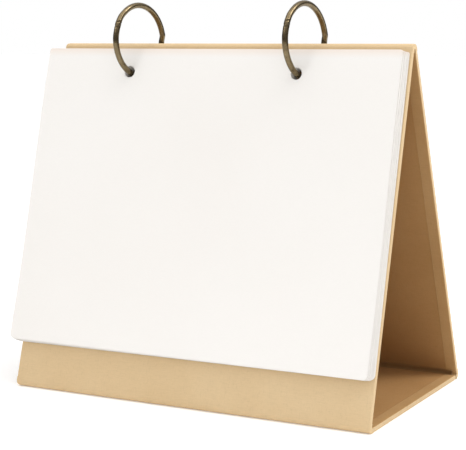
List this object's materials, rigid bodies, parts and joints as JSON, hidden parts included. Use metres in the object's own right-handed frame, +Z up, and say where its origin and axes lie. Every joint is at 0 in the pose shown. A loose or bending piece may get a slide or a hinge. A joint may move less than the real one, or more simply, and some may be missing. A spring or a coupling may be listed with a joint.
{
  "type": "flip desk calendar",
  "caption": "Free-standing easel calendar: wrapped board stand folded into a triangle, with blank landscape sheets that flip over the ridge on two hinged binder rings.",
  "frame": {"origin": "middle of the underside of the base panel, on the surface that the stand rests on", "axes": "+X along the ridge to the reader's right, +Y away from the reader, +Z up"},
  "size_m": [0.218, 0.1251, 0.2111],
  "materials": {
    "greyboard": "matt grey-brown bookbinding board",
    "kraft_wrap": "natural kraft paper, fine fibre, matt",
    "kraft_lining": "natural kraft paper, matt",
    "antique_brass": "antique brass plating, darkened, rubbed bright on the high spots",
    "ring_rivet": "antique brass rivet",
    "blank_card": "smooth uncoated white card"
  },
  "bodies": {
    "front_panel": {"front_board": "greyboard", "front_wrapping": "kraft_wrap", "front_lining": "kraft_lining", "ridge_fold_paper": "kraft_wrap", "front_fold_paper": "kraft_wrap"},
    "back_panel": {"back_board": "greyboard", "back_wrapping": "kraft_wrap", "back_lining": "kraft_lining", "rear_seam_flap": "kraft_wrap"},
    "base_panel": {"base_board": "greyboard", "base_wrapping": "kraft_wrap", "base_lining": "kraft_lining"},
    "left_ring": {"left_ring_lower_half": "antique_brass", "left_ring_hinge_pin": "ring_rivet"},
    "left_ring_gate": {"left_ring_upper_half": "antique_brass"},
    "right_ring": {"right_ring_lower_half": "antique_brass", "right_ring_hinge_pin": "ring_rivet"},
    "right_ring_gate": {"right_ring_upper_half": "antique_brass"},
    "sheet_01": {"sheet_01": "blank_card"},
    "sheet_02": {"sheet_02": "blank_card"},
    "sheet_03": {"sheet_03": "blank_card"},
    "sheet_04": {"sheet_04": "blank_card"},
    "sheet_05": {"sheet_05": "blank_card"},
    "sheet_06": {"sheet_06": "blank_card"},
    "sheet_07": {"sheet_07": "blank_card"},
    "sheet_08": {"sheet_08": "blank_card"},
    "sheet_09": {"sheet_09": "blank_card"},
    "sheet_10": {"sheet_10": "blank_card"},
    "sheet_11": {"sheet_11": "blank_card"},
    "sheet_12": {"sheet_12": "blank_card"},
    "sheet_13": {"sheet_13": "blank_card"}
  },
  "joints": [
    {"name": "back_panel_fold", "type": "hinge", "parent": "front_panel", "child": "back_panel", "pos_m": [0, -0.0055, 0.1847], "axis": [1, 0, 0], "range_deg": [0, 30], "deforming": ["ridge_fold_paper"]},
    {"name": "base_panel_fold", "type": "hinge", "parent": "front_panel", "child": "base_panel", "pos_m": [0, -0.0592, 0.0033], "axis": [1, 0, 0], "range_deg": [0, 72]},
    {"name": "left_ring_turn", "type": "hinge", "parent": "front_panel", "child": "left_ring", "pos_m": [-0.0553, -0.0097, 0.19], "axis": [1, 0, 0], "range_deg": [-293.54, 0]},
    {"name": "left_ring_open", "type": "hinge", "parent": "left_ring", "child": "left_ring_gate", "pos_m": [-0.0553, 0.00914, 0.18495], "axis": [-1, 0, 0], "range_deg": [0, 70]},
    {"name": "right_ring_turn", "type": "hinge", "parent": "front_panel", "child": "right_ring", "pos_m": [0.0467, -0.0097, 0.19], "axis": [1, 0, 0], "range_deg": [-293.54, 0]},
    {"name": "right_ring_open", "type": "hinge", "parent": "right_ring", "child": "right_ring_gate", "pos_m": [0.0467, 0.00914, 0.18495], "axis": [-1, 0, 0], "range_deg": [0, 70]},
    {"name": "sheet_01_turn", "type": "hinge", "parent": "left_ring", "child": "sheet_01", "pos_m": [0, -0.01923, 0.17276], "axis": [1, 0, 0], "range_deg": [-30.34, 0]},
    {"name": "sheet_02_turn", "type": "hinge", "parent": "front_panel", "child": "sheet_02", "pos_m": [0, -0.0097, 0.19], "axis": [1, 0, 0], "range_deg": [-240, 0]},
    {"name": "sheet_03_turn", "type": "hinge", "parent": "front_panel", "child": "sheet_03", "pos_m": [0, -0.0097, 0.19], "axis": [1, 0, 0], "range_deg": [-240, 0]},
    {"name": "sheet_04_turn", "type": "hinge", "parent": "front_panel", "child": "sheet_04", "pos_m": [0, -0.0097, 0.19], "axis": [1, 0, 0], "range_deg": [-240, 0]},
    {"name": "sheet_05_turn", "type": "hinge", "parent": "front_panel", "child": "sheet_05", "pos_m": [0, -0.0097, 0.19], "axis": [1, 0, 0], "range_deg": [-240, 0]},
    {"name": "sheet_06_turn", "type": "hinge", "parent": "front_panel", "child": "sheet_06", "pos_m": [0, -0.0097, 0.19], "axis": [1, 0, 0], "range_deg": [-240, 0]},
    {"name": "sheet_07_turn", "type": "hinge", "parent": "front_panel", "child": "sheet_07", "pos_m": [0, -0.0097, 0.19], "axis": [1, 0, 0], "range_deg": [-240, 0]},
    {"name": "sheet_08_turn", "type": "hinge", "parent": "front_panel", "child": "sheet_08", "pos_m": [0, -0.0097, 0.19], "axis": [1, 0, 0], "range_deg": [-240, 0]},
    {"name": "sheet_09_turn", "type": "hinge", "parent": "front_panel", "child": "sheet_09", "pos_m": [0, -0.0097, 0.19], "axis": [1, 0, 0], "range_deg": [-240, 0]},
    {"name": "sheet_10_turn", "type": "hinge", "parent": "front_panel", "child": "sheet_10", "pos_m": [0, -0.0097, 0.19], "axis": [1, 0, 0], "range_deg": [-240, 0]},
    {"name": "sheet_11_turn", "type": "hinge", "parent": "front_panel", "child": "sheet_11", "pos_m": [0, -0.0097, 0.19], "axis": [1, 0, 0], "range_deg": [-240, 0]},
    {"name": "sheet_12_turn", "type": "hinge", "parent": "front_panel", "child": "sheet_12", "pos_m": [0, -0.0097, 0.19], "axis": [1, 0, 0], "range_deg": [-240, 0]},
    {"name": "sheet_13_turn", "type": "hinge", "parent": "front_panel", "child": "sheet_13", "pos_m": [0, -0.0097, 0.19], "axis": [1, 0, 0], "range_deg": [-240, 0]}
  ],
  "couplings": [
    {"joint": "base_panel_fold", "follows": "back_panel_fold", "ratio": 2.4},
    {"joint": "sheet_01_turn", "follows": "left_ring_turn", "ratio": 0.10336},
    {"joint": "sheet_02_turn", "follows": "left_ring_turn", "ratio": 0.12264},
    {"joint": "sheet_03_turn", "follows": "left_ring_turn", "ratio": 0.11242},
    {"joint": "sheet_04_turn", "follows": "left_ring_turn", "ratio": 0.1022},
    {"joint": "sheet_05_turn", "follows": "left_ring_turn", "ratio": 0.091981},
    {"joint": "sheet_06_turn", "follows": "left_ring_turn", "ratio": 0.081761},
    {"joint": "sheet_07_turn", "follows": "left_ring_turn", "ratio": 0.071541},
    {"joint": "sheet_08_turn", "follows": "left_ring_turn", "ratio": 0.06132},
    {"joint": "sheet_09_turn", "follows": "left_ring_turn", "ratio": 0.0511},
    {"joint": "sheet_10_turn", "follows": "left_ring_turn", "ratio": 0.04088},
    {"joint": "sheet_11_turn", "follows": "left_ring_turn", "ratio": 0.03066},
    {"joint": "sheet_12_turn", "follows": "left_ring_turn", "ratio": 0.02044},
    {"joint": "sheet_13_turn", "follows": "left_ring_turn", "ratio": 0.01022}
  ]
}
